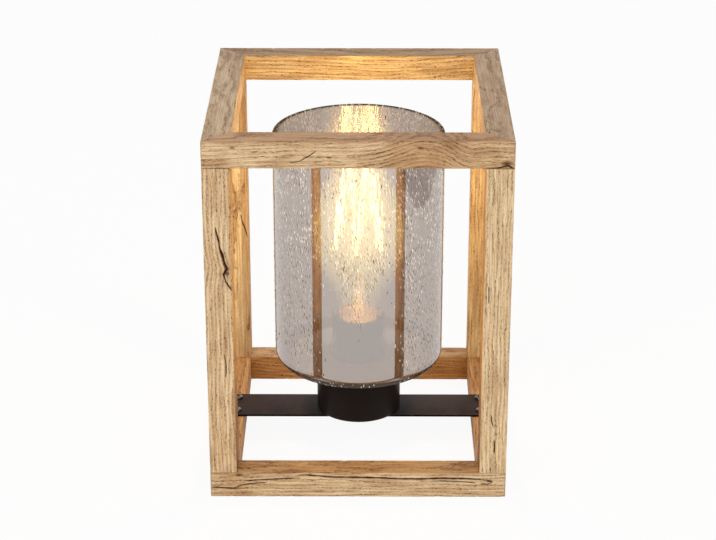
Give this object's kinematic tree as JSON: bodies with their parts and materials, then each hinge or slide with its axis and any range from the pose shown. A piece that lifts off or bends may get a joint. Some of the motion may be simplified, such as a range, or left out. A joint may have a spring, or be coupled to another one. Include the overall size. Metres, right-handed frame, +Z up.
{
  "type": "table lamp",
  "caption": "Lantern table lamp: square oak frame with mitred corners round an open smoked glass cylinder on a metal cup and crossbar, with a screw-in filament bulb.",
  "frame": {"origin": "middle of the footprint, on the surface that the lamp stands on", "axes": "+Z up, -Y towards the front, +X to the right seen from the front; the crossbar runs along X and the cable inlet faces +Y"},
  "size_m": [0.2, 0.2, 0.256],
  "materials": {
    "oak_rail": "oiled rustic oak, open grain with small cracks",
    "oak_post": "oiled rustic oak, straight grain",
    "dowel_wood": "plain beech dowel",
    "black_coat": "satin black powder coat",
    "black_screw": "blackened screw",
    "soft_ring": "matt black soft ring",
    "bush_plastic": "matt black plastic",
    "zinc_steel": "zinc plated",
    "holder_plastic": "moulded black thermoset",
    "sleeve_metal": "satin nickel",
    "core_ceramic": "white ceramic",
    "contact_brass": "plain brass",
    "smoked_glass": "half-mirrored smoked glass with small seeds",
    "solder_tip": "solder",
    "cap_insulator": "black glass",
    "cap_metal": "nickel plated cap",
    "clear_glass": "clear glass",
    "hook_wire": "drawn wire",
    "glowing_filament": "glowing filament"
  },
  "bodies": {
    "lamp": {"top_rail_front": "oak_rail", "top_rail_right": "oak_rail", "top_rail_back": "oak_rail", "top_rail_left": "oak_rail", "bottom_rail_front": "oak_rail", "bottom_rail_right": "oak_rail", "bottom_rail_back": "oak_rail", "bottom_rail_left": "oak_rail", "post_front_left": "oak_post", "post_front_right": "oak_post", "post_back_right": "oak_post", "post_back_left": "oak_post", "top_dowels": "dowel_wood", "bottom_dowels": "dowel_wood", "crossbar": "black_coat", "crossbar_screws": "black_screw", "holder_cup": "black_coat", "cup_cover": "black_coat", "glass_seat_ring": "soft_ring", "cable_bush": "bush_plastic", "threaded_tube": "zinc_steel", "cup_nut": "zinc_steel", "bar_nut": "zinc_steel", "bar_washer": "zinc_steel", "lampholder_base": "holder_plastic", "lampholder_sleeve": "sleeve_metal", "lampholder_core": "core_ceramic", "screw_shell": "contact_brass", "centre_contact": "contact_brass", "terminal_screws": "contact_brass"},
    "glass": {"glass_shade": "smoked_glass"},
    "tip": {"bulb_tip": "solder_tip"},
    "bulb": {"bulb_insulator": "cap_insulator", "bulb_cap": "cap_metal", "bulb_envelope": "clear_glass", "bulb_stem": "clear_glass", "filament_hooks_upper": "hook_wire", "filament_hooks_lower": "hook_wire", "bulb_leads": "hook_wire", "filament": "glowing_filament"}
  },
  "joints": [
    {"name": "glass_lift", "type": "slide", "parent": "lamp", "child": "glass", "axis": [0, 0, 1], "range_m": [0, 0.045]},
    {"name": "bulb_lift", "type": "slide", "parent": "lamp", "child": "tip", "axis": [0, 0, 1], "range_m": [0, 0.01653]},
    {"name": "bulb_turn", "type": "hinge", "parent": "tip", "child": "bulb", "pos_m": [0, 0, 0.0644], "axis": [0, 0, 1], "range_deg": [0, 1620]}
  ],
  "couplings": [
    {"joint": "bulb_lift", "follows": "bulb_turn", "m_per_rad": 0.00057757}
  ]
}
